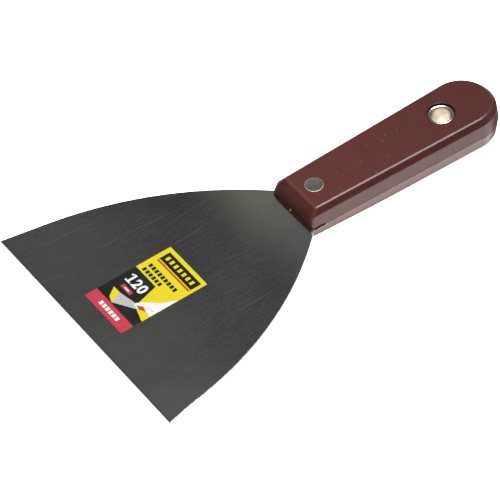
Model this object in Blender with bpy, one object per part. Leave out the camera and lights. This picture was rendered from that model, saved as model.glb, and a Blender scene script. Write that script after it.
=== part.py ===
"""Painter's filling knife: a fan-shaped steel blade in a two-part riveted plastic handle.

Frame: the origin is the middle of the cutting edge's end face, +X runs along the tool to the
butt, +Y to its left edge, and +Z out of the face that carries the label. Metres.
"""

import math

import bmesh
import bpy

# Blade
BLADE_WIDTH = 0.120
BLADE_THICKNESS = 0.0009
EDGE_TAPER = math.radians(10.5)      # the side's angle to the axis beside the cutting edge
EDGE_TAPER_LENGTH = 0.020            # how far back that straight stretch runs
FLANK_RADIUS = 0.168                 # the convex stretch from there to the neck
NECK_HALF_WIDTH = 0.0122
SHOULDER_X = 0.1100                  # where the neck steps down to the tang
SHOULDER_FILLET = 0.0015
TANG_HALF_WIDTH = 0.0080
TANG_END_HALF_WIDTH = 0.0065
TANG_END_X = 0.147
TANG_CORNER_RADIUS = 0.0030

# Handle
NOSE_X = 0.1028
BUTT_X = 0.2062
HANDLE_HALF_HEIGHT = 0.0085
NOSE_HALF_WIDTH = 0.0134
BUTT_RADIUS = 0.0156
NOSE_CORNER_RADIUS = 0.0015
NOSE_SLOPE = 0.0040                  # how far the nose leans back from parting plane to top
NOSE_BULGE = 0.0010
SIDE_HEIGHT = 0.0060                 # the drafted side, from the parting plane to the bevel
SIDE_DRAFT = 0.00077
BEVEL_WIDTH = 0.0020
EDGE_ROUNDING = 0.00035
PARTING_GAP = 0.0003

# Moulded details inside the handle
FIT_GAP = 0.0003
SLOT_END_X = 0.1108                  # the slot for the neck is open at the sides up to here
WALL = 0.0028
ROOF = 0.0026
CORE_START_X = 0.151
CORE_RIB_HALF_WIDTH = 0.0012
EYELET_BOSS_RADIUS = 0.0095
PIN_RADIUS = 0.0014
PIN_HEIGHT = 0.0026
PIN_SPOTS = ((0.123, 0.0102), (0.123, -0.0102), (0.1960, 0.0))

# Rivet near the blade
RIVET_X = 0.1145
RIVET_HEAD_RADIUS = 0.0040
RIVET_HEAD_THICKNESS = 0.0009
RIVET_HEAD_ROUNDING = 0.0003
RIVET_PROUD = 0.0003                 # the visible head stands this far out of the handle
RIVET_SUNK = 0.0001                  # the other head lies this far below the handle's back
SLEEVE_RADIUS = 0.0026
SLEEVE_BORE_RADIUS = 0.00175
SLEEVE_END_Z = -0.0020
SLEEVE_BORE_TOP_Z = 0.0065
POST_RADIUS = 0.0015
POST_TIP_Z = 0.0055

# Eyelet that lines the hanging hole
EYELET_X = 0.1800
EYELET_BORE_RADIUS = 0.00425
EYELET_WALL = 0.0005
EYELET_ROLL_RADIUS = 0.00058         # section radius of the rolled rims
EYELET_SINK = 0.00065                # rim below the handle's top face
SET_RIM_SINK = 0.00035               # the rim that is set against the washer
SEAT_RADIUS = 0.00575
SEAT_CHAMFER = 0.0002
WASHER_THICKNESS = 0.0005
WASHER_RADIUS = 0.0054

# Printed label
LABEL_LENGTH = 0.0420
LABEL_WIDTH = 0.0256
LABEL_THICKNESS = 0.00012
LABEL_CENTRE = (0.0317, 0.0017)
LABEL_CORNER_RADIUS = 0.0006
LABEL_GLUE = 0.00005

ROUND_SEGMENTS = 40
ARC_SEGMENTS = 6
FLANK_SEGMENTS = 24
BUTT_SEGMENTS = 32
SHARP_ANGLE = math.radians(25)


# ---------------------------------------------------------------- points in plan

def arc(centre, radius, start, end, segments):
    """Points along a circular arc between two angles, both ends included."""
    points = []
    for step in range(segments + 1):
        angle = start + (end - start) * step / segments
        points.append((centre[0] + radius * math.cos(angle), centre[1] + radius * math.sin(angle)))
    return points


def mirrored(half):
    """A closed outline from its +Y half, listed from front to back."""
    return half + [(x, -y) for x, y in reversed(half)]


def flank_points():
    """The blade's +Y side from the cutting corner to the neck."""
    start_y = BLADE_WIDTH / 2 - EDGE_TAPER_LENGTH * math.tan(EDGE_TAPER)
    end_angle = math.acos(math.cos(EDGE_TAPER) - (start_y - NECK_HALF_WIDTH) / FLANK_RADIUS)
    points = [(0.0, BLADE_WIDTH / 2)]
    for step in range(FLANK_SEGMENTS + 1):
        angle = EDGE_TAPER + (end_angle - EDGE_TAPER) * step / FLANK_SEGMENTS
        x = EDGE_TAPER_LENGTH + FLANK_RADIUS * (math.sin(angle) - math.sin(EDGE_TAPER))
        y = start_y - FLANK_RADIUS * (math.cos(EDGE_TAPER) - math.cos(angle))
        points.append((x, y))
    return points


def blade_outline():
    """Blade, neck and tang as one closed outline."""
    half = flank_points()
    half.append((SHOULDER_X, NECK_HALF_WIDTH))
    fillet_centre = (SHOULDER_X + SHOULDER_FILLET, TANG_HALF_WIDTH + SHOULDER_FILLET)
    half += arc(fillet_centre, SHOULDER_FILLET, math.pi, 1.5 * math.pi, ARC_SEGMENTS)
    end_centre = (TANG_END_X - TANG_CORNER_RADIUS, TANG_END_HALF_WIDTH - TANG_CORNER_RADIUS)
    half += arc(end_centre, TANG_CORNER_RADIUS, math.pi / 2, 0.0, ARC_SEGMENTS)
    return mirrored(half)


def side_taper():
    """The angle between the handle's side and its axis, seen from above."""
    return math.asin((BUTT_RADIUS - NOSE_HALF_WIDTH) / (BUTT_X - BUTT_RADIUS - NOSE_X))


def side_y(x, inset):
    """The handle's half width at x, on its straight side, drawn in by inset."""
    to_centre = BUTT_X - BUTT_RADIUS - x
    return (BUTT_RADIUS - inset) / math.cos(side_taper()) - to_centre * math.tan(side_taper())


def handle_outline(inset, nose_x):
    """The handle's closed outline at one level, drawn in by inset all round the sides."""
    corner_x = nose_x + NOSE_CORNER_RADIUS
    corner = (corner_x, side_y(corner_x, inset) - NOSE_CORNER_RADIUS / math.cos(side_taper()))
    side_angle = math.pi / 2 + side_taper()
    butt = (BUTT_X - BUTT_RADIUS, 0.0)
    half = arc(corner, NOSE_CORNER_RADIUS, math.pi, side_angle, ARC_SEGMENTS)
    half += arc(butt, BUTT_RADIUS - inset, side_angle, 0.0, BUTT_SEGMENTS // 2)
    return half + [(x, -y) for x, y in reversed(half[:-1])]


def nose_x_at(z):
    """The nose leans back as it rises, with a slight outward bulge."""
    share = z / HANDLE_HALF_HEIGHT
    return NOSE_X + NOSE_SLOPE * share - 4 * NOSE_BULGE * share * (1 - share)


def handle_levels():
    """(height, inset) pairs up the side, the bevel and the small rounding at the top face."""
    top = HANDLE_HALF_HEIGHT
    edge_inset = SIDE_DRAFT + BEVEL_WIDTH
    bevel_height = top - SIDE_HEIGHT
    start = (top - EDGE_ROUNDING, edge_inset - EDGE_ROUNDING * BEVEL_WIDTH / bevel_height)
    end = (top, edge_inset + EDGE_ROUNDING)
    middle = tuple((a + 2 * b + c) / 4 for a, b, c in zip(start, (top, edge_inset), end))
    side = [(SIDE_HEIGHT * share, SIDE_DRAFT * share) for share in (0.33, 0.67, 1.0)]
    return [(PARTING_GAP / 2, 0.0), *side, start, middle, end]


def core_outline(side):
    """One of the two cores in front of the eyelet's boss; side is 1 for left, -1 for right."""
    foot = math.asin(CORE_RIB_HALF_WIDTH / EYELET_BOSS_RADIUS)
    boss = arc((EYELET_X, 0.0), EYELET_BOSS_RADIUS, math.pi - foot, math.pi / 2, ARC_SEGMENTS)
    wall = [(x, side_y(x, WALL)) for x in (EYELET_X, CORE_START_X)]
    return [(x, y * side) for x, y in [(CORE_START_X, CORE_RIB_HALF_WIDTH), *boss, *wall]]


# ---------------------------------------------------------------- meshes

def make_object(name, mesh_builder, material=None):
    """A mesh object whose bmesh is filled by mesh_builder, with its faces turned outwards."""
    mesh = bpy.data.meshes.new(name)
    body = bmesh.new()
    mesh_builder(body)
    bmesh.ops.recalc_face_normals(body, faces=body.faces)
    body.to_mesh(mesh)
    body.free()
    thing = bpy.data.objects.new(name, mesh)
    bpy.context.scene.collection.objects.link(thing)
    mesh.shade_smooth()
    mesh.set_sharp_from_angle(angle=SHARP_ANGLE)
    if material:
        mesh.materials.append(material)
    return thing


def loft(body, rings):
    """A closed solid through rings of 3-D points that all have the same count."""
    loops = [[body.verts.new(point) for point in ring] for ring in rings]
    count = len(loops[0])
    for lower, upper in zip(loops, loops[1:]):
        for index in range(count):
            after = (index + 1) % count
            body.faces.new((lower[index], lower[after], upper[after], upper[index]))
    body.faces.new(list(reversed(loops[0])))
    body.faces.new(loops[-1])


def prism(body, outline, low_z, high_z):
    """An outline extruded between two heights."""
    loft(body, [[(x, y, z) for x, y in outline] for z in (low_z, high_z)])


def turn(body, profile, x, y=0.0):
    """A closed (radius, z) profile turned about the vertical line through x, y."""
    rings = []
    for radius, z in profile:
        if radius == 0:
            rings.append([body.verts.new((x, y, z))])
            continue
        ring = arc((x, y), radius, 0.0, 2 * math.pi, ROUND_SEGMENTS)[:-1]
        rings.append([body.verts.new((px, py, z)) for px, py in ring])
    for this, following in zip(rings, rings[1:] + rings[:1]):
        for index in range(ROUND_SEGMENTS):
            after = (index + 1) % ROUND_SEGMENTS
            quad = [this[index % len(this)], this[after % len(this)],
                    following[after % len(following)], following[index % len(following)]]
            corners = list(dict.fromkeys(quad))
            if len(corners) > 2:
                body.faces.new(corners)


def disc_profile(radius, low_z, high_z):
    """The profile of a plain cylinder."""
    return [(0, low_z), (radius, low_z), (radius, high_z), (0, high_z)]


def cutter(name, mesh_builder):
    """A guide solid that only cuts or joins other solids."""
    guide = make_object(name, mesh_builder)
    guide.hide_render = True
    guide.display_type = "WIRE"
    return guide


def combine(thing, guide, operation="DIFFERENCE"):
    """Cut a guide out of a solid, or join it on."""
    modifier = thing.modifiers.new(guide.name, "BOOLEAN")
    modifier.operation = operation
    modifier.solver = "EXACT"
    modifier.object = guide


def material(name, colour, roughness, metallic=0.0):
    """A Principled material in one colour."""
    finish = bpy.data.materials.new(name)
    finish.use_nodes = True
    shader = finish.node_tree.nodes["Principled BSDF"]
    shader.inputs["Base Color"].default_value = (*colour, 1.0)
    shader.inputs["Roughness"].default_value = roughness
    shader.inputs["Metallic"].default_value = metallic
    finish.diffuse_color = (*colour, 1.0)
    return finish


# ---------------------------------------------------------------- guides

def rivet_hole():
    """The hole through both halves and the tang, with a seat for each head."""
    radius = SLEEVE_RADIUS + FIT_GAP
    seat = RIVET_HEAD_RADIUS + FIT_GAP
    top = HANDLE_HALF_HEIGHT
    upper_floor = top + RIVET_PROUD - RIVET_HEAD_THICKNESS - FIT_GAP
    lower_floor = RIVET_SUNK + RIVET_HEAD_THICKNESS + FIT_GAP - top
    beyond = 2 * top
    profile = [(0, -beyond), (seat, -beyond), (seat, lower_floor), (radius, lower_floor),
               (radius, upper_floor), (seat, upper_floor), (seat, beyond), (0, beyond)]
    return cutter("rivet_hole", lambda body: turn(body, profile, RIVET_X))


def eyelet_hole():
    """The bore through both halves, with a chamfered seat on each face."""
    radius = EYELET_BORE_RADIUS + EYELET_WALL + FIT_GAP
    top = HANDLE_HALF_HEIGHT
    upper_floor = top - EYELET_SINK - EYELET_ROLL_RADIUS - FIT_GAP
    washer_room = WASHER_THICKNESS + 2 * FIT_GAP
    lower_floor = SET_RIM_SINK + EYELET_ROLL_RADIUS + washer_room - top
    rim = SEAT_RADIUS + SEAT_CHAMFER
    beyond = 2 * top
    upper = [(radius, upper_floor), (SEAT_RADIUS, upper_floor), (SEAT_RADIUS, top - SEAT_CHAMFER),
             (rim, top), (rim, beyond), (0, beyond)]
    lower = [(0, -beyond), (rim, -beyond), (rim, -top), (SEAT_RADIUS, SEAT_CHAMFER - top),
             (SEAT_RADIUS, lower_floor), (radius, lower_floor)]
    return cutter("eyelet_hole", lambda body: turn(body, lower + upper, EYELET_X))


def tang_pocket():
    """The room for neck and tang: open at the nose and sides, then closed round the tang."""
    depth = BLADE_THICKNESS / 2 + FIT_GAP
    outside = 2 * BUTT_RADIUS
    half = [(NOSE_X - outside, outside), (SLOT_END_X, outside),
            (SLOT_END_X, TANG_HALF_WIDTH + FIT_GAP + SHOULDER_FILLET / 2),
            (SLOT_END_X + SHOULDER_FILLET, TANG_HALF_WIDTH + FIT_GAP),
            (TANG_END_X + FIT_GAP, TANG_END_HALF_WIDTH + FIT_GAP)]
    return cutter("tang_pocket", lambda body: prism(body, mirrored(half), -depth, depth))


def cores():
    """The two hollows, open at the parting plane, that keep each half's wall even."""
    depth = HANDLE_HALF_HEIGHT - ROOF
    guides = []
    for name, side in (("left_core", 1), ("right_core", -1)):
        outline = core_outline(side)
        guides.append(cutter(name, lambda body, o=outline: prism(body, o, -depth, depth)))
    return guides


def pins():
    """Locating pins that rise from the lower half across the parting plane."""
    root = -HANDLE_HALF_HEIGHT / 4
    tip = PIN_RADIUS - PIN_RADIUS / 3
    profile = [(0, root), (PIN_RADIUS, root), (PIN_RADIUS, PIN_HEIGHT - PIN_RADIUS / 3),
               (tip, PIN_HEIGHT), (0, PIN_HEIGHT)]
    return [cutter(f"pin_{number}", lambda body, s=spot: turn(body, profile, *s))
            for number, spot in enumerate(PIN_SPOTS, 1)]


def sockets():
    """Holes in the upper half that take the locating pins."""
    profile = disc_profile(PIN_RADIUS + FIT_GAP, -PIN_HEIGHT, PIN_HEIGHT + 2 * FIT_GAP)
    return [cutter(f"socket_{number}", lambda body, s=spot: turn(body, profile, *s))
            for number, spot in enumerate(PIN_SPOTS, 1)]


# ---------------------------------------------------------------- pieces

def blade(hole):
    """Blade, neck and tang, from one sheet."""
    half = BLADE_THICKNESS / 2
    steel = material("ground_steel", (0.065, 0.065, 0.060), 0.35, 1.0)
    sheet = make_object("blade", lambda body: prism(body, blade_outline(), -half, half), steel)
    combine(sheet, hole)
    return sheet


def handle_half(name, side, guides):
    """One moulded half; side is 1 above the parting plane and -1 below it."""
    rings = []
    for z, inset in handle_levels():
        outline = handle_outline(inset, nose_x_at(z))
        rings.append([(x, y, z * side) for x, y in outline])
    plastic = material(name + "_plastic", (0.110, 0.038, 0.034), 0.40)
    half = make_object(name, lambda body: loft(body, rings), plastic)
    for guide in guides:
        combine(half, guide)
    return half


def rivet_sleeve():
    """The hollow part of the rivet, whose head shows on top."""
    top = HANDLE_HALF_HEIGHT + RIVET_PROUD
    under = top - RIVET_HEAD_THICKNESS
    crown = RIVET_HEAD_RADIUS - RIVET_HEAD_ROUNDING
    rounding = arc((crown, top - RIVET_HEAD_ROUNDING), RIVET_HEAD_ROUNDING, 0, math.pi / 2, 3)
    profile = [(0, SLEEVE_BORE_TOP_Z), (SLEEVE_BORE_RADIUS, SLEEVE_BORE_TOP_Z),
               (SLEEVE_BORE_RADIUS, SLEEVE_END_Z), (SLEEVE_RADIUS, SLEEVE_END_Z),
               (SLEEVE_RADIUS, under), (RIVET_HEAD_RADIUS, under), *rounding, (0, top)]
    steel = material("rivet_sleeve_steel", (0.165, 0.150, 0.130), 0.45, 0.9)
    return make_object("rivet_sleeve", lambda body: turn(body, profile, RIVET_X), steel)


def rivet_post():
    """The solid part of the rivet, pressed into the sleeve from the back."""
    bottom = RIVET_SUNK - HANDLE_HALF_HEIGHT
    inner = bottom + RIVET_HEAD_THICKNESS
    crown = RIVET_HEAD_RADIUS - RIVET_HEAD_ROUNDING
    rounding = arc((crown, bottom + RIVET_HEAD_ROUNDING), RIVET_HEAD_ROUNDING,
                   1.5 * math.pi, 2 * math.pi, 3)
    profile = [(0, bottom), *rounding, (RIVET_HEAD_RADIUS, inner), (POST_RADIUS, inner),
               (POST_RADIUS, POST_TIP_Z), (0, POST_TIP_Z)]
    steel = material("rivet_post_steel", (0.165, 0.150, 0.130), 0.45, 0.9)
    return make_object("rivet_post", lambda body: turn(body, profile, RIVET_X), steel)


def hanging_eyelet():
    """The plated tube with a rolled rim at each end."""
    outer = EYELET_BORE_RADIUS + EYELET_WALL
    roll = EYELET_BORE_RADIUS + EYELET_ROLL_RADIUS
    upper_z = HANDLE_HALF_HEIGHT - EYELET_SINK - EYELET_ROLL_RADIUS
    lower_z = SET_RIM_SINK + EYELET_ROLL_RADIUS - HANDLE_HALF_HEIGHT
    upper_rim = arc((roll, upper_z), EYELET_ROLL_RADIUS, math.pi, 0.0, 2 * ARC_SEGMENTS)
    lower_rim = arc((roll, lower_z), EYELET_ROLL_RADIUS, 0.0, -math.pi, 2 * ARC_SEGMENTS)
    profile = [*upper_rim, (outer, upper_z), (outer, lower_z), *lower_rim]
    nickel = material("eyelet_nickel", (0.62, 0.58, 0.50), 0.18, 1.0)
    return make_object("hanging_eyelet", lambda body: turn(body, profile, EYELET_X), nickel)


def eyelet_washer():
    """The ring that the eyelet's lower rim is set against."""
    rim_z = SET_RIM_SINK + EYELET_ROLL_RADIUS - HANDLE_HALF_HEIGHT
    low = rim_z + FIT_GAP
    high = low + WASHER_THICKNESS
    inner = EYELET_BORE_RADIUS + EYELET_WALL + FIT_GAP
    profile = [(inner, low), (WASHER_RADIUS, low), (WASHER_RADIUS, high), (inner, high)]
    nickel = material("washer_nickel", (0.62, 0.58, 0.50), 0.25, 1.0)
    return make_object("eyelet_washer", lambda body: turn(body, profile, EYELET_X), nickel)


def size_label():
    """The printed sticker on the blade, with slightly rounded corners."""
    reach_x = LABEL_LENGTH / 2 - LABEL_CORNER_RADIUS
    reach_y = LABEL_WIDTH / 2 - LABEL_CORNER_RADIUS
    outline = []
    for number, (sx, sy) in enumerate(((1, 1), (-1, 1), (-1, -1), (1, -1))):
        corner = (LABEL_CENTRE[0] + sx * reach_x, LABEL_CENTRE[1] + sy * reach_y)
        start = number * math.pi / 2
        outline += arc(corner, LABEL_CORNER_RADIUS, start, start + math.pi / 2, 3)
    low = BLADE_THICKNESS / 2 + LABEL_GLUE
    paper = material("label_paper", (0.86, 0.66, 0.05), 0.45)
    high = low + LABEL_THICKNESS
    return make_object("size_label", lambda body: prism(body, outline, low, high), paper)


def clear_scene():
    for thing in list(bpy.data.objects):
        bpy.data.objects.remove(thing, do_unlink=True)


def main():
    clear_scene()
    through_rivet = rivet_hole()
    shared = [tang_pocket(), through_rivet, eyelet_hole(), *cores()]
    blade(through_rivet)
    handle_half("handle_upper_half", 1, [*shared, *sockets()])
    lower = handle_half("handle_lower_half", -1, shared)
    for pin in pins():
        combine(lower, pin, "UNION")
    rivet_sleeve()
    rivet_post()
    hanging_eyelet()
    eyelet_washer()
    size_label()


main()
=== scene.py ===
"""Looks of the painter's filling knife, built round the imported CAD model.

The frame is the CAD's: the origin is the middle of the cutting edge, +X runs to the butt, +Y to
the tool's left edge and +Z out of the face that carries the label. Metres.
"""

import math

import bmesh
import bpy
from mathutils import Matrix, Vector


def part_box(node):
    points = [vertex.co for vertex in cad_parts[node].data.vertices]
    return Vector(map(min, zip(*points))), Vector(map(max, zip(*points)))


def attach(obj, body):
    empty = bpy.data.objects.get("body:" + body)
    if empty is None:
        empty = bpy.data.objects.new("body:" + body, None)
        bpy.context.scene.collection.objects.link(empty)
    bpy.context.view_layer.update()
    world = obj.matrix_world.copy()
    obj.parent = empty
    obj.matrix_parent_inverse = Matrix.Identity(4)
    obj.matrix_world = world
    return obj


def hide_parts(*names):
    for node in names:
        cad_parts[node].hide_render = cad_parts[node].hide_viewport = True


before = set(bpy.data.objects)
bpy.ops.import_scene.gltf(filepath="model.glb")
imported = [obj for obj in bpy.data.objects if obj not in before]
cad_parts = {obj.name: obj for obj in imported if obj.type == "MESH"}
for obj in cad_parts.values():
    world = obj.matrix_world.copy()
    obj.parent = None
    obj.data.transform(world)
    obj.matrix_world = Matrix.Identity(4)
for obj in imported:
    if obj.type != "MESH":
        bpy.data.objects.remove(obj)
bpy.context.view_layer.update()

# ---------------------------------------------------------------- places, read from the CAD

BLADE_LOW, BLADE_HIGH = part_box("blade")
HANDLE_LOW, HANDLE_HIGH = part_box("handle_upper_half")
RIVET_LOW, RIVET_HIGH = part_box("rivet_sleeve")
POST_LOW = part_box("rivet_post")[0]
EYELET_LOW, EYELET_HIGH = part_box("hanging_eyelet")
WASHER_LOW, WASHER_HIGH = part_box("eyelet_washer")
LABEL_LOW, LABEL_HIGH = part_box("size_label")

# Blade
HALF_BLADE = BLADE_HIGH.z
BLADE_WIDTH = BLADE_HIGH.y - BLADE_LOW.y
EDGE_TAPER = math.radians(10.5)      # the side's angle to the axis beside the cutting edge
EDGE_TAPER_LENGTH = 0.020            # how far back that straight stretch runs
FLANK_RADIUS = 0.168                 # the convex stretch from there to the neck
NECK_HALF_WIDTH = 0.0122
SHOULDER_X = 0.1100                  # where the neck steps down to the tang
TANG_HALF_WIDTH = 0.0080
TANG_END_HALF_WIDTH = 0.0065
TANG_END_X = BLADE_HIGH.x
SHOULDER_CORNER_RADIUS = 0.0004
SHOULDER_FILLET = 0.0015
TANG_CORNER_RADIUS = 0.0030
BLADE_ROUNDING = 0.00012

# Handle
NOSE_X = HANDLE_LOW.x
BUTT_X = HANDLE_HIGH.x
TOP = HANDLE_HIGH.z
BUTT_RADIUS = (HANDLE_HIGH.y - HANDLE_LOW.y) / 2
NOSE_HALF_WIDTH = 0.0134
NOSE_SLOPE = 0.0040                  # how far the nose leans back from parting plane to top
NOSE_POWER = 2.6                     # the nose starts upright and curves back ever faster
NOSE_CORNER_RADIUS = 0.0015
SIDE_HEIGHT = 0.0060                 # the drafted side, from the parting plane to the bevel
SIDE_DRAFT = 0.00077
BEVEL_WIDTH = 0.0020
TOP_ROUNDING = 0.0019
NOSE_ROUNDING = 0.0004                # where the nose meets the top face
SIDE_ROUNDING = 0.0007
SEAM_ROUNDING = 0.00016
SEAM_GAP = 0.00010
SLOT_END_X = 0.1098                  # the slot for the neck is open at the sides up to here
SLOT_GAP = 0.00015

# Rivet, eyelet and glue
RIVET_X = (RIVET_LOW.x + RIVET_HIGH.x) / 2
RIVET_RADIUS = (RIVET_HIGH.x - RIVET_LOW.x) / 2
RIVET_GAP = 0.00010
RIVET_SEAT_DEPTH = 0.0012
RIVET_HOLE_RADIUS = 0.0029
RIVET_RIM = 0.00040                  # width of the head's rounded rim
EYELET_X = (EYELET_LOW.x + EYELET_HIGH.x) / 2
RIM_RADIUS = (EYELET_HIGH.x - EYELET_LOW.x) / 2
ROLL_RADIUS = 0.00058                # half the width of the rims
FLARE_RADIUS = 0.00098               # the tube widens through this radius into each rim
SHEET = 0.0004                       # thickness of the eyelet's sheet
SEAT_RADIUS = 0.0060
SEAT_ROUNDING = 0.00018
GLUE_X = NOSE_X + 0.0004             # the bead of glue starts under the nose
CRUMB_RADIUS = 0.00055

# Label
LABEL_TOP = LABEL_HIGH.z
LABEL_LENGTH = LABEL_HIGH.x - LABEL_LOW.x
LABEL_WIDTH = LABEL_HIGH.y - LABEL_LOW.y
LABEL_CORNER_RADIUS = 0.0004
INK_STEP = 0.000004                  # each printed layer stands this much above the one below
INK_DEPTH = 0.00003                  # and reaches this far into the sheet
BLACK, RED, WHITE, ORANGE, GREY, YELLOW = range(6)
MILLIMETRE = 0.001
NUMBER_HEIGHT = 6.5 * MILLIMETRE
NUMBER_SPOT = (19.6, 8.2)            # middle of the printed number on the label, millimetres

# The handle's plastic
LIGHT_MAROON = (0.0590, 0.0136, 0.0106)
DARK_MAROON = (0.0420, 0.0093, 0.0070)
LOWER_HALF_PAINTED_LIGHT = 1.45              # painted light: the lower half is coloured lighter, standing in for the floor's light on its side
DUST_X = 0.146                       # middle of the dusty patch
DUST_REACH = 0.030
MATT_RIM_WIDTH = 0.0034              # the worn rim round the butt, and where it starts
MATT_RIM_START_X = 0.1920
MATT_RIM_FULL_X = 0.1990

# Painted reflections on the blade's steel, front to back: tones that stand in for the surroundings the blade
# mirrors
FRONT_PAINTED_REFLECTION = (0.228, 0.228, 0.222)
MIDDLE_PAINTED_REFLECTION = (0.145, 0.142, 0.138)
RIGHT_NECK_PAINTED_REFLECTION = (0.340, 0.340, 0.328)
LEFT_NECK_PAINTED_REFLECTION = (0.540, 0.540, 0.430)
CORNER_PAINTED_REFLECTION = (0.322, 0.322, 0.345)
FRONT_TONE_END_X = 0.020
MIDDLE_TONE_START_X = 0.062
MIDDLE_TONE_END_X = 0.072
NECK_TONE_START_X = 0.100

# Fine arcs on the blade: centre, radius, and where along x each begins and ends
SCRATCHES = (((0.02, -0.42), 0.452, 0.010, 0.075),
             ((0.05, 0.30), 0.285, 0.020, 0.085),
             ((0.10, -0.26), 0.288, 0.050, 0.098),
             ((0.06, 0.21), 0.240, 0.045, 0.080),
             ((-0.02, -0.50), 0.548, 0.005, 0.045))

# Studio
FLOOR_REACH = 6.0
FLOOR_DROP_FRONT = -HALF_BLADE
FLOOR_DROP_BACK = -TOP
FLOOR_CONTACT_X = 0.200
TABLE_GLOW = 1.00                    # the floor is a light table
SUN_STRENGTH = 6.5
SUN_ANGLE = math.radians(44)
SUN_DIRECTION = (0.19, -0.06, 0.975)
ROOM_TOP_STRENGTH = 0.205            # the room is white at the horizon and darker from here up
ROOM_DARK_HEIGHT = 0.24

# Camera
CAMERA_AZIMUTH = math.radians(-33.169)
CAMERA_ELEVATION = math.radians(48.110)
CAMERA_ROLL = math.radians(3.661)
CAMERA_DISTANCE = 1.4143
CAMERA_AIM = (0.0773, -0.0063, 0.0)
CAMERA_LENS = 252.0

ROUND_SEGMENTS = 96
SMOOTH_ANGLE = math.radians(32)


# ---------------------------------------------------------------- outlines

def arc(centre, radius, start, end, segments):
    """Points along a circular arc between two angles, both ends included."""
    points = []
    for step in range(segments + 1):
        angle = start + (end - start) * step / segments
        points.append((centre[0] + radius * math.cos(angle), centre[1] + radius * math.sin(angle)))
    return points


def rounded(points, radii, segments=6):
    """A polyline with an arc of the given radius at each corner; 0 keeps the corner sharp."""
    path = []
    for index, (point, radius) in enumerate(zip(points, radii)):
        if not radius:
            path.append(tuple(point))
            continue
        here = Vector(point)
        back = (Vector(points[index - 1]) - here).normalized()
        ahead = (Vector(points[(index + 1) % len(points)]) - here).normalized()
        half = back.angle(ahead) / 2
        centre = here + (back + ahead).normalized() * radius / math.sin(half)
        first = here + back * radius / math.tan(half) - centre
        last = here + ahead * radius / math.tan(half) - centre
        start = math.atan2(first.y, first.x)
        turn_angle = (math.atan2(last.y, last.x) - start + math.pi) % (2 * math.pi) - math.pi
        path += arc(centre, radius, start, start + turn_angle, segments)
    return path


def mirrored(half):
    """A closed outline from its +Y half, listed from front to back."""
    return half + [(x, -y) for x, y in reversed(half)]


def flank_points(segments=72):
    """The blade's +Y side from the cutting corner to the neck."""
    start_y = BLADE_WIDTH / 2 - EDGE_TAPER_LENGTH * math.tan(EDGE_TAPER)
    end_angle = math.acos(math.cos(EDGE_TAPER) - (start_y - NECK_HALF_WIDTH) / FLANK_RADIUS)
    points = [(0.0, BLADE_WIDTH / 2)]
    for step in range(segments + 1):
        angle = EDGE_TAPER + (end_angle - EDGE_TAPER) * step / segments
        x = EDGE_TAPER_LENGTH + FLANK_RADIUS * (math.sin(angle) - math.sin(EDGE_TAPER))
        points.append((x, start_y - FLANK_RADIUS * (math.cos(EDGE_TAPER) - math.cos(angle))))
    return points


def blade_outline():
    """Blade, neck and tang as one closed outline."""
    tang = [(SHOULDER_X, NECK_HALF_WIDTH), (SHOULDER_X, TANG_HALF_WIDTH),
            (TANG_END_X, TANG_END_HALF_WIDTH), (TANG_END_X, 0.0)]
    radii = [0, SHOULDER_CORNER_RADIUS, SHOULDER_FILLET, TANG_CORNER_RADIUS, 0]
    back = rounded([flank_points()[-1], *tang], radii)[1:-1]
    return mirrored(flank_points() + back)


def side_taper():
    """The angle between the handle's side and its axis, seen from above."""
    return math.asin((BUTT_RADIUS - NOSE_HALF_WIDTH) / (BUTT_X - BUTT_RADIUS - NOSE_X))


def side_y(x, inset):
    """The handle's half width at x, on its straight side, drawn in by inset."""
    to_centre = BUTT_X - BUTT_RADIUS - x
    return (BUTT_RADIUS - inset) / math.cos(side_taper()) - to_centre * math.tan(side_taper())


def handle_outline(inset, nose_x):
    """The handle's closed outline at one level, drawn in by inset all round the sides."""
    corner_x = nose_x + NOSE_CORNER_RADIUS
    corner = (corner_x, side_y(corner_x, inset) - NOSE_CORNER_RADIUS / math.cos(side_taper()))
    side_angle = math.pi / 2 + side_taper()
    butt = (BUTT_X - BUTT_RADIUS, 0.0)
    half = arc(corner, NOSE_CORNER_RADIUS, math.pi, side_angle, 10)
    half += arc(butt, BUTT_RADIUS - inset, side_angle, 0.0, 48)
    return half + [(x, -y) for x, y in reversed(half[:-1])]


def nose_x_at(z):
    """The nose rises upright, curves back, and rolls over into the top face."""
    lean = NOSE_X + NOSE_SLOPE * min(z / TOP, 1.0) ** NOSE_POWER
    slope = NOSE_SLOPE * NOSE_POWER / TOP
    length = math.hypot(1, slope)
    centre_x = NOSE_X + NOSE_SLOPE + NOSE_ROUNDING * (length - slope)
    centre_z = TOP - NOSE_ROUNDING
    if z <= centre_z + NOSE_ROUNDING * slope / length:
        return lean
    return centre_x - math.sqrt(max(NOSE_ROUNDING ** 2 - (z - centre_z) ** 2, 0.0))


def handle_rings():
    """(inset, height, extra nose inset) up one half, from the parting face to the top face."""
    seam = SEAM_GAP / 2
    inner = 0.0008
    edge = SIDE_DRAFT + BEVEL_WIDTH
    steps = 8
    rise = SIDE_HEIGHT - seam
    side = [(SIDE_DRAFT * step / steps, seam + rise * step / steps) for step in range(1, steps)]
    corners = [(inner, seam), (0, seam), *side, (SIDE_DRAFT, SIDE_HEIGHT), (edge, TOP),
               (edge + TOP_ROUNDING, TOP)]
    radii = [0, SEAM_ROUNDING, *[0] * len(side), SIDE_ROUNDING, TOP_ROUNDING, 0]
    path = rounded(corners, radii, 7)
    rings = []
    for inset, z in path:
        nose_extra = inset if z < 2 * SEAM_ROUNDING else 0.0
        rings.append((inset, z, nose_extra))
    rings[-1] = (path[-1][0], TOP, path[-1][0] - path[-2][0])
    return rings


# ---------------------------------------------------------------- meshes

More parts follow.
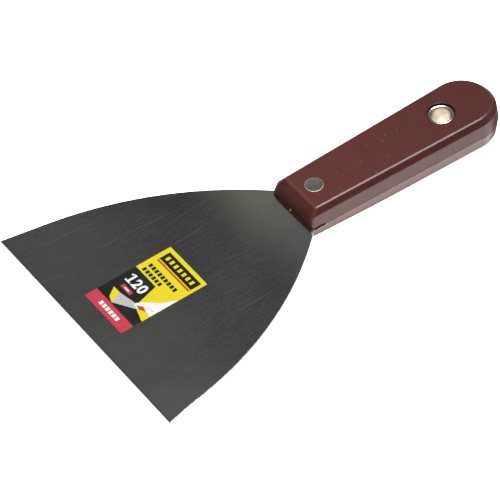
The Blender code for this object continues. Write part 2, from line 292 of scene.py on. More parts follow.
def make_object(name, mesh_builder, finish):
    """A mesh object whose bmesh is filled by mesh_builder, with its faces turned outwards."""
    mesh = bpy.data.meshes.new(name)
    body = bmesh.new()
    mesh_builder(body)
    bmesh.ops.recalc_face_normals(body, faces=body.faces)
    body.to_mesh(mesh)
    body.free()
    thing = bpy.data.objects.new(name, mesh)
    bpy.context.scene.collection.objects.link(thing)
    if finish:
        mesh.materials.append(finish)
    return thing


def loft(body, rings):
    """A closed solid through rings of 3-D points that all have the same count."""
    loops = [[body.verts.new(point) for point in ring] for ring in rings]
    count = len(loops[0])
    for lower, upper in zip(loops, loops[1:]):
        for index in range(count):
            after = (index + 1) % count
            body.faces.new((lower[index], lower[after], upper[after], upper[index]))
    body.faces.new(list(reversed(loops[0])))
    body.faces.new(loops[-1])


def prism(body, outline, low_z, high_z):
    """An outline extruded between two heights."""
    loft(body, [[(x, y, z) for x, y in outline] for z in (low_z, high_z)])


def turn(body, profile, x):
    """A closed (radius, z) profile turned about the vertical line through x on the axis."""
    rings = []
    for radius, z in profile:
        if radius == 0:
            rings.append([body.verts.new((x, 0.0, z))])
            continue
        ring = arc((x, 0.0), radius, 0.0, 2 * math.pi, ROUND_SEGMENTS)[:-1]
        rings.append([body.verts.new((px, py, z)) for px, py in ring])
    for this, following in zip(rings, rings[1:] + rings[:1]):
        for index in range(ROUND_SEGMENTS):
            after = (index + 1) % ROUND_SEGMENTS
            quad = [this[index % len(this)], this[after % len(this)],
                    following[after % len(following)], following[index % len(following)]]
            corners = list(dict.fromkeys(quad))
            if len(corners) > 2:
                body.faces.new(corners)


def offset(outline, distance):
    """A clockwise outline drawn in by distance, with mitred corners."""
    drawn = []
    for index, point in enumerate(outline):
        here = Vector(point)
        before = (here - Vector(outline[index - 1])).normalized()
        after = (Vector(outline[(index + 1) % len(outline)]) - here).normalized()
        inward = Vector((before.y + after.y, -before.x - after.x)).normalized()
        spread = max(inward.dot(Vector((before.y, -before.x))), 0.5)
        drawn.append(tuple(here + inward * distance / spread))
    return drawn


def cut(thing, name, mesh_builder):
    """Cut a guide solid out of a mesh object, for good."""
    guide = make_object(name, mesh_builder, None)
    modifier = thing.modifiers.new(name, "BOOLEAN")
    modifier.operation = "DIFFERENCE"
    modifier.solver = "EXACT"
    modifier.object = guide
    evaluated = thing.evaluated_get(bpy.context.evaluated_depsgraph_get())
    mesh = bpy.data.meshes.new_from_object(evaluated)
    thing.modifiers.clear()
    thing.data = mesh
    bpy.data.objects.remove(guide, do_unlink=True)


def smooth(thing):
    """Smooth shading that keeps flat faces flat and sharp corners sharp."""
    thing.data.shade_smooth()
    thing.data.set_sharp_from_angle(angle=SMOOTH_ANGLE)
    weighted = thing.modifiers.new("flat_faces_stay_flat", "WEIGHTED_NORMAL")
    weighted.keep_sharp = True


def finish_piece(thing, slot, *nodes):
    """Let a piece ride with the tool and stand for CAD nodes."""
    smooth(thing)
    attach(thing, "root")
    if nodes:
        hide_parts(*nodes)
    return thing


# ---------------------------------------------------------------- shader nodes

def new_material(name, metallic=0.0, roughness=0.4):
    """A material and its Principled shader."""
    finish = bpy.data.materials.new(name)
    finish.use_nodes = True
    shader = finish.node_tree.nodes["Principled BSDF"]
    shader.inputs["Metallic"].default_value = metallic
    shader.inputs["Roughness"].default_value = roughness
    return finish, shader


def place(finish, scale=(1.0, 1.0, 1.0), rotation=0.0):
    """The tool's own coordinates in metres, stretched and turned about Z."""
    nodes = finish.node_tree.nodes
    coordinates = nodes.new("ShaderNodeTexCoord")
    mapping = nodes.new("ShaderNodeMapping")
    mapping.inputs["Scale"].default_value = scale
    mapping.inputs["Rotation"].default_value = (0.0, 0.0, rotation)
    finish.node_tree.links.new(coordinates.outputs["Object"], mapping.inputs["Vector"])
    return mapping.outputs["Vector"]


def noise(finish, vector, scale, detail=3.0, rough=0.5):
    """Noise between about 0.3 and 0.7."""
    texture = finish.node_tree.nodes.new("ShaderNodeTexNoise")
    texture.inputs["Scale"].default_value = scale
    texture.inputs["Detail"].default_value = detail
    texture.inputs["Roughness"].default_value = rough
    finish.node_tree.links.new(vector, texture.inputs["Vector"])
    return texture.outputs["Fac"]


def remap(finish, value, low, high, to_low=0.0, to_high=1.0, smooth_step=False):
    """Map a value's range on to another, held at its ends."""
    node = finish.node_tree.nodes.new("ShaderNodeMapRange")
    node.interpolation_type = "SMOOTHSTEP" if smooth_step else "LINEAR"
    node.inputs["From Min"].default_value = low
    node.inputs["From Max"].default_value = high
    node.inputs["To Min"].default_value = to_low
    node.inputs["To Max"].default_value = to_high
    finish.node_tree.links.new(value, node.inputs["Value"])
    return node.outputs["Result"]


def maths(finish, operation, first, second=0.5, third=None):
    """A Math node on sockets or numbers."""
    node = finish.node_tree.nodes.new("ShaderNodeMath")
    node.operation = operation
    values = (first, second) if third is None else (first, second, third)
    for socket, value in zip(node.inputs, values):
        if isinstance(value, bpy.types.NodeSocket):
            finish.node_tree.links.new(value, socket)
        else:
            socket.default_value = value
    return node.outputs[0]


def blend(finish, share, first, second):
    """A colour between two, by share."""
    node = finish.node_tree.nodes.new("ShaderNodeMix")
    node.data_type = "RGBA"
    sockets = [s for s in node.inputs if s.type == "RGBA"]
    finish.node_tree.links.new(share, node.inputs[0])
    for socket, value in zip(sockets, (first, second)):
        if isinstance(value, bpy.types.NodeSocket):
            finish.node_tree.links.new(value, socket)
        else:
            socket.default_value = (*value, 1.0)
    return next(s for s in node.outputs if s.type == "RGBA")


def bump(finish, height, distance, strength):
    """A Bump node whose height is in units of distance, in metres."""
    node = finish.node_tree.nodes.new("ShaderNodeBump")
    node.inputs["Strength"].default_value = strength
    node.inputs["Distance"].default_value = distance
    finish.node_tree.links.new(height, node.inputs["Height"])
    return node.outputs["Normal"]


def feed(finish, shader, **sockets):
    """Link values into the shader's sockets, named with underscores."""
    for name, value in sockets.items():
        finish.node_tree.links.new(value, shader.inputs[name.replace("_", " ")])


def axis_value(finish, axis):
    """The tool's x, y or z at the shaded point, in metres."""
    nodes = finish.node_tree.nodes
    coordinates = nodes.new("ShaderNodeTexCoord")
    split = nodes.new("ShaderNodeSeparateXYZ")
    finish.node_tree.links.new(coordinates.outputs["Object"], split.inputs["Vector"])
    return split.outputs["XYZ".index(axis)]


def specks(finish, scale, share, size):
    """Sparse round dots: 1 at a dot and 0 between; share is how many cells hold one."""
    nodes = finish.node_tree.nodes
    cells = nodes.new("ShaderNodeTexVoronoi")
    cells.inputs["Scale"].default_value = scale
    finish.node_tree.links.new(place(finish), cells.inputs["Vector"])
    split = nodes.new("ShaderNodeSeparateColor")
    finish.node_tree.links.new(cells.outputs["Color"], split.inputs["Color"])
    chosen = maths(finish, "LESS_THAN", split.outputs[0], share)
    dot = remap(finish, cells.outputs["Distance"], size, size * 0.5)
    return maths(finish, "MULTIPLY", chosen, dot)


def distance_to(finish, centre):
    """Distance in plan from a point, in metres."""
    nodes = finish.node_tree.nodes
    coordinates = nodes.new("ShaderNodeTexCoord")
    flat = nodes.new("ShaderNodeVectorMath")
    flat.operation = "MULTIPLY"
    flat.inputs[1].default_value = (1.0, 1.0, 0.0)
    gap = nodes.new("ShaderNodeVectorMath")
    gap.operation = "DISTANCE"
    gap.inputs[1].default_value = (*centre, 0.0)
    finish.node_tree.links.new(coordinates.outputs["Object"], flat.inputs[0])
    finish.node_tree.links.new(flat.outputs[0], gap.inputs[0])
    return gap.outputs["Value"]


def scratch(finish, centre, radius, width, start, end):
    """A fine arc on the blade: 1 on the line, fading towards its two ends along x."""
    from_centre = distance_to(finish, centre)
    off_line = maths(finish, "ABSOLUTE", maths(finish, "SUBTRACT", from_centre, radius))
    line = remap(finish, off_line, width, 0.0)
    middle, half = (start + end) / 2, (end - start) / 2
    from_middle = maths(finish, "ABSOLUTE", maths(finish, "SUBTRACT", axis_value(finish, "X"), middle))
    along = remap(finish, from_middle, half, half * 0.4)
    return maths(finish, "MULTIPLY", line, along)


# ---------------------------------------------------------------- materials

def ground_steel():
    """Dark spring steel, ground along the tool, with stains, specks and a few scratches, over painted
    reflections: its tone by position stands in for the surroundings it mirrors.
    """
    finish, shader = new_material("ground_steel", metallic=1.0)
    x = axis_value(finish, "X")
    y = axis_value(finish, "Y")
    wide = noise(finish, place(finish), 22.0, 2.0)
    grain = noise(finish, place(finish, (110.0, 1500.0, 1.0)), 1.0, 3.0, 0.6)
    smear = noise(finish, place(finish, (40.0, 130.0, 1.0), math.radians(6)), 1.0, 2.0, 0.5)
    # Painted reflections: the front, middle, neck and corner tones stand in for the surroundings mirrored in
    # the blade.
    to_middle = remap(finish, x, FRONT_TONE_END_X, MIDDLE_TONE_START_X, smooth_step=True)
    tone = blend(finish, to_middle, FRONT_PAINTED_REFLECTION, MIDDLE_PAINTED_REFLECTION)
    neck = blend(finish, remap(finish, y, -0.016, 0.016, smooth_step=True), RIGHT_NECK_PAINTED_REFLECTION, LEFT_NECK_PAINTED_REFLECTION)
    to_neck = remap(finish, x, MIDDLE_TONE_END_X, NECK_TONE_START_X, smooth_step=True)
    tone = blend(finish, to_neck, tone, neck)
    to_corner = maths(finish, "MULTIPLY", remap(finish, y, -0.034, -0.056, smooth_step=True),
                      remap(finish, x, 0.036, 0.004, smooth_step=True))
    tone = blend(finish, to_corner, tone, CORNER_PAINTED_REFLECTION)
    mottled = blend(finish, remap(finish, wide, 0.38, 0.66, 0.0, 0.15), tone, (0.175, 0.173, 0.168))
    streaked = blend(finish, remap(finish, grain, 0.45, 0.80, 0.0, 0.38), mottled, (0.42, 0.42, 0.41))
    smeared = blend(finish, remap(finish, smear, 0.60, 0.38, 0.0, 0.14), streaked, (0.17, 0.17, 0.16))
    fine = noise(finish, place(finish), 1500.0, 2.0)
    grainy = blend(finish, remap(finish, fine, 0.42, 0.66, 0.0, 0.22), smeared, (0.38, 0.38, 0.37))
    marks = maths(finish, "MULTIPLY", specks(finish, 95.0, 0.045, 0.055), 0.7)
    colour = blend(finish, marks, grainy, (0.07, 0.07, 0.06))
    for centre, radius, start, end in SCRATCHES:
        line = maths(finish, "MULTIPLY", scratch(finish, centre, radius, 0.00022, start, end), 0.45)
        colour = blend(finish, line, colour, (0.52, 0.52, 0.50))
    edge_dirt = remap(finish, x, 0.0009, 0.0001)
    colour = blend(finish, maths(finish, "MULTIPLY", edge_dirt, 0.75), colour, (0.13, 0.105, 0.075))
    roughness = remap(finish, wide, 0.35, 0.7, 0.15, 0.19)
    feed(finish, shader, Base_Color=colour, Roughness=roughness)
    return finish


def maroon_colour(finish, painted_lightness, cloud):
    """Clouded maroon with dust on the broad top, and painted shade that darkens the bevel and the handle
    towards the butt.
    """
    x = axis_value(finish, "X")
    fine = noise(finish, place(finish), 1300.0, 2.0)
    # The colour is scaled by a painted-light factor: above 1 for the lower half's lit copy.
    colour = blend(finish, remap(finish, cloud, 0.32, 0.68), [painted_lightness * c for c in LIGHT_MAROON],
                   [painted_lightness * c for c in DARK_MAROON])
    colour = blend(finish, remap(finish, fine, 0.50, 0.72, 0.0, 0.45), colour, (0.085, 0.026, 0.021))
    from_middle = maths(finish, "ABSOLUTE", maths(finish, "SUBTRACT", x, DUST_X))
    patch = remap(finish, from_middle, DUST_REACH, 0.004, smooth_step=True)
    dust = maths(finish, "MULTIPLY", specks(finish, 700.0, 0.10, 0.20), patch)
    colour = blend(finish, maths(finish, "MULTIPLY", dust, 0.85), colour, (0.26, 0.145, 0.125))
    # Painted shade: the plastic is coloured darker towards the butt.
    painted_shade_to_butt = remap(finish, x, 0.130, 0.185, 0.0, 0.28)
    colour = blend(finish, painted_shade_to_butt, colour, (0.020, 0.0030, 0.0022))
    # Painted shade: the bevel band between the side and the top face is darkened in the colour.
    height = maths(finish, "ABSOLUTE", axis_value(finish, "Z"))
    above_side = remap(finish, height, SIDE_HEIGHT + 0.0001, SIDE_HEIGHT + 0.0005)
    below_top = remap(finish, height, TOP - 0.0001, TOP - 0.0005)
    behind_nose = remap(finish, x, NOSE_X + 0.0030, NOSE_X + 0.0044, 0.0, 0.45)
    painted_shade_on_bevel = maths(finish, "MULTIPLY", maths(finish, "MULTIPLY", above_side, below_top), behind_nose)
    return blend(finish, painted_shade_on_bevel, colour, (0.014, 0.0030, 0.0024))


def matt_ends(finish):
    """1 where the plastic is worn matt: on the nose's front and round the rim of the butt."""
    x = axis_value(finish, "X")
    from_butt = distance_to(finish, (BUTT_X - BUTT_RADIUS, 0.0))
    at_rim = remap(finish, from_butt, BUTT_RADIUS - MATT_RIM_WIDTH, BUTT_RADIUS - 0.0018, smooth_step=True)
    beyond = remap(finish, x, MATT_RIM_START_X, MATT_RIM_FULL_X, smooth_step=True)
    off_axis = maths(finish, "ABSOLUTE", axis_value(finish, "Y"))
    on_front = remap(finish, off_axis, NOSE_HALF_WIDTH - 0.0016, NOSE_HALF_WIDTH - 0.0030, smooth_step=True)
    near_nose = remap(finish, x, NOSE_X + 0.0056, NOSE_X + 0.0042, 0.0, 0.80)
    at_nose = maths(finish, "MULTIPLY", on_front, near_nose)
    return maths(finish, "MAXIMUM", at_nose, maths(finish, "MULTIPLY", at_rim, beyond))


def maroon_plastic(name, painted_lightness):
    """Moulded maroon plastic: glossy on its sides and top, worn matt at both ends."""
    finish, shader = new_material(name)
    cloud = noise(finish, place(finish), 130.0, 4.0, 0.6)
    peel = noise(finish, place(finish), 900.0, 2.0)
    colour = maroon_colour(finish, painted_lightness, cloud)
    matt = matt_ends(finish)
    gloss = remap(finish, cloud, 0.35, 0.70, 0.25, 0.29)
    roughness = maths(finish, "MULTIPLY_ADD", matt, 0.5, gloss)
    shine = remap(finish, matt, 0.0, 1.0, 0.34, 0.05)
    normal = bump(finish, peel, 0.00002, 0.2)
    feed(finish, shader, Base_Color=colour, Roughness=roughness, Normal=normal, Specular_IOR_Level=shine)
    return finish


def rivet_steel():
    """Dull pitted steel inside a worn bright rim."""
    finish, shader = new_material("rivet_steel", metallic=1.0)
    pits = noise(finish, place(finish), 2600.0, 3.0, 0.6)
    tone = noise(finish, place(finish), 700.0, 2.0)
    colour = blend(finish, remap(finish, tone, 0.38, 0.62), (0.066, 0.067, 0.058), (0.094, 0.092, 0.080))
    colour = blend(finish, remap(finish, pits, 0.50, 0.36), colour, (0.036, 0.036, 0.030))
    radius = distance_to(finish, (RIVET_X, 0.0))
    rim = remap(finish, radius, RIVET_RADIUS - RIVET_RIM, RIVET_RADIUS - 0.6 * RIVET_RIM, smooth_step=True)
    colour = blend(finish, rim, colour, (0.34, 0.31, 0.265))
    roughness = remap(finish, pits, 0.35, 0.65, 0.60, 0.42)
    normal = bump(finish, pits, 0.00006, 0.5)
    feed(finish, shader, Base_Color=colour, Roughness=roughness, Normal=normal)
    return finish


def nickel(name):
    """Bright nickel plate with faint clouding."""
    finish, shader = new_material(name, metallic=1.0)
    cloud = noise(finish, place(finish), 500.0, 3.0)
    colour = blend(finish, remap(finish, cloud, 0.35, 0.65), (0.66, 0.615, 0.54), (0.59, 0.54, 0.46))
    roughness = remap(finish, cloud, 0.35, 0.65, 0.16, 0.25)
    feed(finish, shader, Base_Color=colour, Roughness=roughness)
    return finish


def ink(name, colour):
    """One printed colour under the label's clear film."""
    finish, shader = new_material(name)
    dots = noise(finish, place(finish), 3500.0, 1.0)
    paler = tuple(c * 1.04 for c in colour)
    darker = tuple(c * 0.96 for c in colour)
    mixed = blend(finish, remap(finish, dots, 0.35, 0.65), darker, paler)
    waves = noise(finish, place(finish), 160.0, 2.0)
    shader.inputs["Specular IOR Level"].default_value = 0.25
    roughness = remap(finish, waves, 0.35, 0.65, 0.24, 0.32)
    feed(finish, shader, Base_Color=mixed, Roughness=roughness, Normal=bump(finish, waves, 0.00005, 0.1))
    return finish


def dried_glue(name, darker, paler):
    """Dried squeeze-out along the junction, between two colours."""
    finish, shader = new_material(name)
    lumps = noise(finish, place(finish), 1500.0, 3.0)
    colour = blend(finish, remap(finish, lumps, 0.4, 0.65), darker, paler)
    roughness = remap(finish, lumps, 0.35, 0.65, 0.6, 0.8)
    shader.inputs["Specular IOR Level"].default_value = 0.15
    feed(finish, shader, Base_Color=colour, Roughness=roughness, Normal=bump(finish, lumps, 0.0001, 0.5))
    return finish


# ---------------------------------------------------------------- pieces

def blade(finish):
    """Blade, neck and tang from one sheet, with all its edges slightly rounded."""
    outline = blade_outline()
    rings = []
    for low, side in ((True, -1), (False, 1)):
        steps = range(4) if low else reversed(range(4))
        for step in steps:
            angle = math.pi / 2 * step / 3
            drawn = offset(outline, BLADE_ROUNDING * (1 - math.sin(angle)))
            z = side * (HALF_BLADE - BLADE_ROUNDING * (1 - math.cos(angle)))
            rings.append([(x, y, z) for x, y in drawn])
    sheet = make_object("ground_blade", lambda body: loft(body, rings), finish)
    hole = [(0, -TOP), (RIVET_HOLE_RADIUS, -TOP), (RIVET_HOLE_RADIUS, TOP), (0, TOP)]
    cut(sheet, "rivet_hole_in_tang", lambda body: turn(body, hole, RIVET_X))
    return finish_piece(sheet, "blade_steel", "blade")


def eyelet_cutter():
    """Profile of the bore through the handle, with a seat whose mouth is rounded on each face."""
    radius = RIM_RADIUS - 2 * ROLL_RADIUS + SHEET + SEAM_GAP
    upper_floor = EYELET_HIGH.z - ROLL_RADIUS
    lower_floor = WASHER_HIGH.z + SEAM_GAP
    beyond = 2 * TOP
    mouth = SEAT_RADIUS + 2 * SEAT_ROUNDING
    corners = [(0, -beyond), (mouth, -beyond), (mouth, -TOP), (SEAT_RADIUS, -TOP), (SEAT_RADIUS, lower_floor),
               (radius, lower_floor), (radius, upper_floor), (SEAT_RADIUS, upper_floor),
               (SEAT_RADIUS, TOP), (mouth, TOP), (mouth, beyond), (0, beyond)]
    radii = [0, 0, 0, SEAT_ROUNDING, 0, 0, 0, 0, SEAT_ROUNDING, 0, 0, 0]
    return rounded(corners, radii)


def rivet_cutter():
    """Profile of the rivet's hole and its two shallow seats."""
    seat = RIVET_RADIUS + RIVET_GAP
    shaft = RIVET_HOLE_RADIUS
    beyond = 2 * TOP
    floor_z = TOP - RIVET_SEAT_DEPTH
    return [(0, -beyond), (seat, -beyond), (seat, -floor_z), (shaft, -floor_z),
            (shaft, floor_z), (seat, floor_z), (seat, beyond), (0, beyond)]


def slot_outline():
    """The room for the neck and tang, open at the nose and, up to the slot's end, at the sides."""
    outside = 2 * BUTT_RADIUS
    neck_y = NECK_HALF_WIDTH + SLOT_GAP
    shoulder_x = SHOULDER_X + SLOT_GAP
    half = [(NOSE_X - outside, outside), (SLOT_END_X, outside), (SLOT_END_X, neck_y),
            (shoulder_x, neck_y), (shoulder_x, TANG_HALF_WIDTH + SLOT_GAP),
            (TANG_END_X + SLOT_GAP, TANG_END_HALF_WIDTH + SLOT_GAP)]
    return mirrored(half)


def handle_half(name, side, node, finish):
    """One moulded half; side is 1 above the parting plane and -1 below it."""
    rings = []
    for inset, z, nose_extra in handle_rings():
        outline = handle_outline(inset, nose_x_at(z) + nose_extra)
        rings.append([(x, y, z * side) for x, y in outline])
    half = make_object(name, lambda body: loft(body, rings), finish)
    room = HALF_BLADE + SLOT_GAP
    cut(half, "slot", lambda body: prism(body, slot_outline(), -room, room))
    cut(half, "eyelet_seats", lambda body: turn(body, eyelet_cutter(), EYELET_X))
    cut(half, "rivet_seats", lambda body: turn(body, rivet_cutter(), RIVET_X))
    return finish_piece(half, "handle_plastic", node)


def rivet_head(finish):
    """The hollow half of the rivet: a rounded rim round a slightly dished, dimpled middle."""
    top = RIVET_HIGH.z
    under = TOP - RIVET_SEAT_DEPTH + RIVET_GAP
    dish = top - 0.00020
    shaft = RIVET_HOLE_RADIUS - RIVET_GAP
    corners = [(0, dish - 0.00035), (0.00045, dish), (RIVET_RADIUS - 1.4 * RIVET_RIM, dish),
               (RIVET_RADIUS - RIVET_RIM, top), (RIVET_RADIUS, top), (RIVET_RADIUS, under),
               (shaft, under), (shaft, POST_LOW.z + 0.0020), (0, POST_LOW.z + 0.0020)]
    radii = [0, 0.0003, 0.0002, 0.00015, 0.00028, 0, 0, 0, 0]
    profile = rounded(corners, radii)
    head = make_object("rivet_head", lambda body: turn(body, profile, RIVET_X), finish)
    return finish_piece(head, "rivet_steel", "rivet_sleeve")


def rivet_back(finish):
    """The solid half's head, seen only from the back."""
    low = POST_LOW.z
    under = -TOP + RIVET_SEAT_DEPTH - RIVET_GAP
    shaft = RIVET_HOLE_RADIUS - RIVET_GAP
    corners = [(0, low + 0.00012), (RIVET_RADIUS * 0.55, low + 0.00012), (RIVET_RADIUS, low),
               (RIVET_RADIUS, under), (shaft, under), (shaft, POST_LOW.z + 0.0018), (0, POST_LOW.z + 0.0018)]
    radii = [0, 0.0006, 0.0003, 0, 0, 0, 0]
    profile = rounded(corners, radii)
    back = make_object("rivet_back", lambda body: turn(body, profile, RIVET_X), finish)
    return finish_piece(back, "rivet_steel", "rivet_post")


def eyelet_rim(end_z, side):
    """One flared end of the tube as a (radius, z) profile, from the bore outwards and back in."""
    bore = RIM_RADIUS - 2 * ROLL_RADIUS
    crest = bore + FLARE_RADIUS
    lip = (RIM_RADIUS - crest) * 0.999
    half = math.pi / 2
    flare = arc((crest, 0.0), FLARE_RADIUS, math.pi, half, 14)
    edge = arc((crest, FLARE_RADIUS - lip), lip, half, -half, 8)[1:]
    underside = arc((crest, 0.0), FLARE_RADIUS - SHEET, half, math.pi, 10)
    centre_z = end_z - side * FLARE_RADIUS
    return [(radius, centre_z + side * z) for radius, z in [*flare, *edge, *underside]]


def eyelet(finish):
    """The plated tube, its sheet turned outwards at both ends."""
    upper = eyelet_rim(EYELET_HIGH.z, 1)
    lower = eyelet_rim(EYELET_LOW.z, -1)
    profile = [*upper, *reversed(lower)]
    tube = make_object("rolled_eyelet", lambda body: turn(body, profile, EYELET_X), finish)
    return finish_piece(tube, "eyelet_nickel", "hanging_eyelet")


def washer(finish):
    """The ring under the eyelet's lower rim, with rounded edges."""
    radius = (WASHER_HIGH.x - WASHER_LOW.x) / 2
    inner = RIM_RADIUS - 2 * ROLL_RADIUS + SHEET + 0.0001
    corners = [(inner, WASHER_LOW.z), (radius, WASHER_LOW.z), (radius, WASHER_HIGH.z), (inner, WASHER_HIGH.z)]
    profile = rounded(corners, [0.0001, 0.00015, 0.00015, 0.0001], 4)
    ring = make_object("eyelet_ring", lambda body: turn(body, profile, EYELET_X), finish)
    return finish_piece(ring, "eyelet_nickel", "eyelet_washer")


# ---------------------------------------------------------------- label

def on_label(u, v):
    """A point on the label: u millimetres from its front end, v from its far side."""
    return (LABEL_LOW.x + u * MILLIMETRE, LABEL_HIGH.y - v * MILLIMETRE)


def printed(body, corners, level, slot, radii=None):
    """One flat printed shape, given by its corners on the label."""
    outline = [on_label(u, v) for u, v in corners]
    if radii:
        outline = rounded(outline, [r * MILLIMETRE for r in radii], 8)
    known = set(body.faces)
    prism(body, outline, LABEL_TOP - INK_DEPTH, LABEL_TOP + level * INK_STEP)
    for face in set(body.faces) - known:
        face.material_index = slot


def bar(u, v, length, width):
    """Corners of an upright rectangle whose first corner is u, v."""
    return [(u, v), (u + length, v), (u + length, v + width), (u, v + width)]


def print_bands(body):
    """The panels, and rows of plain bars in place of words."""
    length = LABEL_LENGTH / MILLIMETRE
    width = LABEL_WIDTH / MILLIMETRE
    panel = [(5.9, 0.0), (24.9, 0.0), (24.9, 13.9), (14.3, 16.8), (12.0, 19.0), (10.0, width), (5.9, width)]
    printed(body, panel, 1, BLACK)
    printed(body, bar(0.0, 0.0, 5.9, width), 1, RED)
    printed(body, bar(length - 7.1, 2.3, 5.2, 21.8), 1, BLACK)
    printed(body, bar(length - 8.4, 2.3, 0.8, 21.8), 1, ORANGE)
    for number in range(7):
        printed(body, bar(36.4, 4.0 + 2.75 * number, 2.2, 1.5), 2, YELLOW)
    for number in range(9):
        printed(body, bar(28.9, 2.6 + 2.1 * number, 2.0, 1.5), 1, BLACK)
    for number in range(6):
        printed(body, bar(25.9, 2.6 + 2.1 * number, 1.9, 1.5), 1, BLACK)
    for number in range(6):
        printed(body, bar(2.0, 6.6 + 2.2 * number, 2.0, 1.6), 2, WHITE)


def print_pictogram(body):
    """A simple knife held in a simple hand."""
    width = LABEL_WIDTH / MILLIMETRE
    printed(body, [(11.8, 3.4), (11.9, 7.6), (6.3, 9.8), (7.4, 6.6)], 2, YELLOW)
    printed(body, [(11.9, 7.6), (13.5, 15.9), (12.0, 18.9), (6.3, 9.8)], 2, GREY)
    hand = [(14.3, 16.4), (17.9, 19.0), (21.5, 22.4), (28.6, width), (13.8, width), (14.6, 22.0),
            (12.2, 19.2), (12.7, 15.9)]
    printed(body, hand, 3, WHITE, [0.4, 3.0, 6.0, 0.3, 0.3, 2.0, 0.8, 0.5])
    printed(body, [(13.2, 17.4), (15.0, 19.6), (14.2, 22.4), (12.6, 19.6)], 4, ORANGE)
    printed(body, [(14.0, 4.6), (15.9, 4.6), (15.9, 11.2), (14.0, 11.2)], 2, RED)
    printed(body, bar(14.6, 6.4, 0.7, 3.0), 3, WHITE)
    for number in range(3):
        u = 14.6 + 0.5 * number
        crease = [(u, 20.6 + 1.5 * number), (u + 0.4, 20.5 + 1.5 * number),
                  (17.0, 21.6 + 1.3 * number), (16.8, 21.9 + 1.3 * number)]
        printed(body, crease, 4, GREY)


def print_layers(body):
    """Everything printed on the sheet but the number, with the flag and foot of its first digit."""
    print_bands(body)
    print_pictogram(body)
    printed(body, [(22.3, 3.9), (22.3, 4.6), (20.9, 2.9), (21.6, 2.3)], 2, WHITE)
    printed(body, bar(17.3, 2.7, 0.8, 3.2), 2, WHITE)


def size_number(finish):
    """The blade width in millimetres, printed across the label."""
    words = bpy.data.curves.new("size_number", "FONT")
    words.body = "120"
    words.size = NUMBER_HEIGHT
    words.offset = 0.24 * MILLIMETRE
    words.space_character = 1.14
    words.extrude = 0.012 * MILLIMETRE
    words.align_x = "CENTER"
    words.align_y = "CENTER"
    holder = bpy.data.objects.new("size_number_text", words)
    bpy.context.scene.collection.objects.link(holder)
    holder.matrix_world = Matrix.Rotation(-math.pi / 2, 4, "Z")
    bpy.context.view_layer.update()
    evaluated = holder.evaluated_get(bpy.context.evaluated_depsgraph_get())
    mesh = bpy.data.meshes.new_from_object(evaluated)
    centre = on_label(*NUMBER_SPOT)
    mesh.transform(Matrix.Translation((*centre, LABEL_TOP + INK_STEP)) @ holder.matrix_world)
    bpy.data.objects.remove(holder, do_unlink=True)
    number = bpy.data.objects.new("printed_number", mesh)
    bpy.context.scene.collection.objects.link(number)
    mesh.materials.clear()
    mesh.materials.append(finish)
    return finish_piece(number, "label_print")


def label():
    """The sticker: a yellow sheet with printed layers."""
    yellow = ink("ink_yellow", (0.390, 0.325, 0.009))
    low = LABEL_LOW.z
    corners = [(LABEL_LOW.x, LABEL_HIGH.y), (LABEL_HIGH.x, LABEL_HIGH.y),
               (LABEL_HIGH.x, LABEL_LOW.y), (LABEL_LOW.x, LABEL_LOW.y)]
    outline = rounded(corners, [LABEL_CORNER_RADIUS] * 4)
    paper = make_object("label_sheet", lambda body: prism(body, outline, low, LABEL_TOP), yellow)
    finish_piece(paper, "label_print", "size_label")
    inks = make_object("label_print", print_layers, ink("ink_black", (0.0050, 0.0060, 0.0035)))
    white = ink("ink_white", (0.43, 0.43, 0.43))
    for finish in (ink("ink_red", (0.29, 0.022, 0.040)), white, ink("ink_orange", (0.26, 0.035, 0.006)),
                   ink("ink_grey", (0.245, 0.245, 0.250)), yellow):
        inks.data.materials.append(finish)
    finish_piece(inks, "label_print")
    size_number(white)


def glue_line(finish):
    """An uneven bead where the upper half's nose meets the blade."""
    rings = []
    steps = 90
    for step in range(steps + 1):
        share = step / steps
        y = NECK_HALF_WIDTH * (1 - 2 * share) * 0.99
        wobble = math.sin(17 * share + 1) + math.sin(41 * share) + 0.7 * math.sin(83 * share + 2)
        taper = math.sin(math.pi * min(max(share, 0.02), 0.98)) ** 0.3
        reach = (0.00062 + 0.00016 * wobble) * taper
        height = (0.00058 + 0.00010 * math.sin(53 * share) + 0.00007 * wobble) * taper
        reach += GLUE_X - NOSE_X
        ring = []
        for part in range(9):
            angle = math.pi * part / 8
            z = HALF_BLADE + height * (1 - math.cos(angle)) / 2
            ring.append((GLUE_X - reach * math.sin(angle), y, z))
        rings.append(ring)
    bead = make_object("glue_bead", lambda body: loft(body, rings), finish)
    return finish_piece(bead, "handle_plastic")


def crumb(finish):
    """A pale crumb of glue caught in the corner, with an uneven surface."""
    centre = Vector((NOSE_X - 0.0003, 0.0004, HALF_BLADE + 0.0005))

    def build(body):
        bmesh.ops.create_icosphere(body, subdivisions=3, radius=CRUMB_RADIUS)
        for corner in body.verts:
            x, y, z = (value / CRUMB_RADIUS for value in corner.co)
            swell = 1 + 0.16 * math.sin(4 * x + 2 * y) + 0.12 * math.sin(5 * z - 3 * y + 1)
            corner.co = centre + corner.co * swell

    return finish_piece(make_object("glue_crumb", build, finish), "handle_plastic")


# ---------------------------------------------------------------- studio

def pale_floor():
    """A plain floor that touches the underside of the cutting edge and the rear of the handle."""
    finish, shader = new_material("pale_floor", roughness=0.9)
    shader.inputs["Base Color"].default_value = (0.86, 0.86, 0.86, 1.0)
    shader.inputs["Specular IOR Level"].default_value = 0.1
    shader.inputs["Emission Color"].default_value = (1.0, 1.0, 1.0, 1.0)
    shader.inputs["Emission Strength"].default_value = TABLE_GLOW
    slope = (FLOOR_DROP_BACK - FLOOR_DROP_FRONT) / FLOOR_CONTACT_X
    outline = arc((0.0, 0.0), FLOOR_REACH, 0.0, 2 * math.pi, 64)[:-1]

    def build(body):
        body.faces.new([body.verts.new((x, y, FLOOR_DROP_FRONT + slope * x)) for x, y in outline])

    floor = make_object("floor", build, finish)


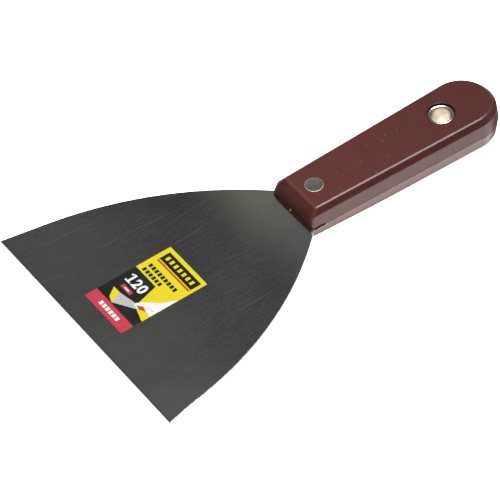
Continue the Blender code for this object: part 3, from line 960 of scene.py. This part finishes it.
def soft_light():
    """One very broad overhead light and a pale room that is darker higher up."""
    light = bpy.data.lights.new("overhead_softbox", "SUN")
    light.energy = SUN_STRENGTH
    light.angle = SUN_ANGLE
    lamp = bpy.data.objects.new("overhead_softbox", light)
    lamp.rotation_euler = Vector(SUN_DIRECTION).to_track_quat("Z", "Y").to_euler()
    bpy.context.scene.collection.objects.link(lamp)
    world = bpy.data.worlds.new("studio")
    bpy.context.scene.world = world
    world.use_nodes = True
    nodes = world.node_tree.nodes
    links = world.node_tree.links
    coordinates = nodes.new("ShaderNodeTexCoord")
    split = nodes.new("ShaderNodeSeparateXYZ")
    ramp = nodes.new("ShaderNodeMapRange")
    ramp.interpolation_type = "SMOOTHSTEP"
    ramp.inputs["From Min"].default_value = 0.0
    ramp.inputs["From Max"].default_value = ROOM_DARK_HEIGHT
    ramp.inputs["To Min"].default_value = 1.0
    ramp.inputs["To Max"].default_value = ROOM_TOP_STRENGTH
    links.new(coordinates.outputs["Generated"], split.inputs["Vector"])
    links.new(split.outputs["Z"], ramp.inputs["Value"])
    links.new(ramp.outputs["Result"], nodes["Background"].inputs["Strength"])
    nodes["Background"].inputs["Color"].default_value = (1.0, 1.0, 1.0, 1.0)


def camera():
    """The viewing angle: from the front right, 48 degrees up, with a long lens."""
    data = bpy.data.cameras.new("camera")
    data.lens = CAMERA_LENS
    data.sensor_width = 36.0
    data.clip_start = 0.05
    data.clip_end = 50.0
    thing = bpy.data.objects.new("camera", data)
    back = Vector((math.sin(CAMERA_AZIMUTH) * math.cos(CAMERA_ELEVATION),
                   -math.cos(CAMERA_AZIMUTH) * math.cos(CAMERA_ELEVATION), math.sin(CAMERA_ELEVATION)))
    right = (-back).cross(Vector((0, 0, 1))).normalized()
    up = right.cross(-back).normalized()
    rolled_right = right * math.cos(CAMERA_ROLL) - up * math.sin(CAMERA_ROLL)
    rolled_up = up * math.cos(CAMERA_ROLL) + right * math.sin(CAMERA_ROLL)
    rotation = Matrix((rolled_right, rolled_up, back)).transposed()
    thing.matrix_world = Matrix.Translation(Vector(CAMERA_AIM) + back * CAMERA_DISTANCE) @ rotation.to_4x4()
    bpy.context.scene.collection.objects.link(thing)
    bpy.context.scene.camera = thing
    bpy.context.scene.view_settings.view_transform = "Standard"


def main():
    blade(ground_steel())
    upper_plastic = maroon_plastic("maroon_plastic", 1.0)
    # The lower half is a lighter copy of the same plastic: painted light.
    lower_plastic = maroon_plastic("painted_lit_maroon_plastic", LOWER_HALF_PAINTED_LIGHT)
    handle_half("handle_upper_shell", 1, "handle_upper_half", upper_plastic)
    handle_half("handle_lower_shell", -1, "handle_lower_half", lower_plastic)
    steel = rivet_steel()
    rivet_head(steel)
    rivet_back(steel)
    eyelet(nickel("nickel_plate"))
    washer(nickel("nickel_ring"))
    label()
    glue_line(dried_glue("dark_glue", (0.004, 0.003, 0.0025), (0.012, 0.009, 0.008)))
    crumb(dried_glue("pale_glue", (0.10, 0.070, 0.066), (0.16, 0.115, 0.110)))
    pale_floor()
    soft_light()
    camera()


main()
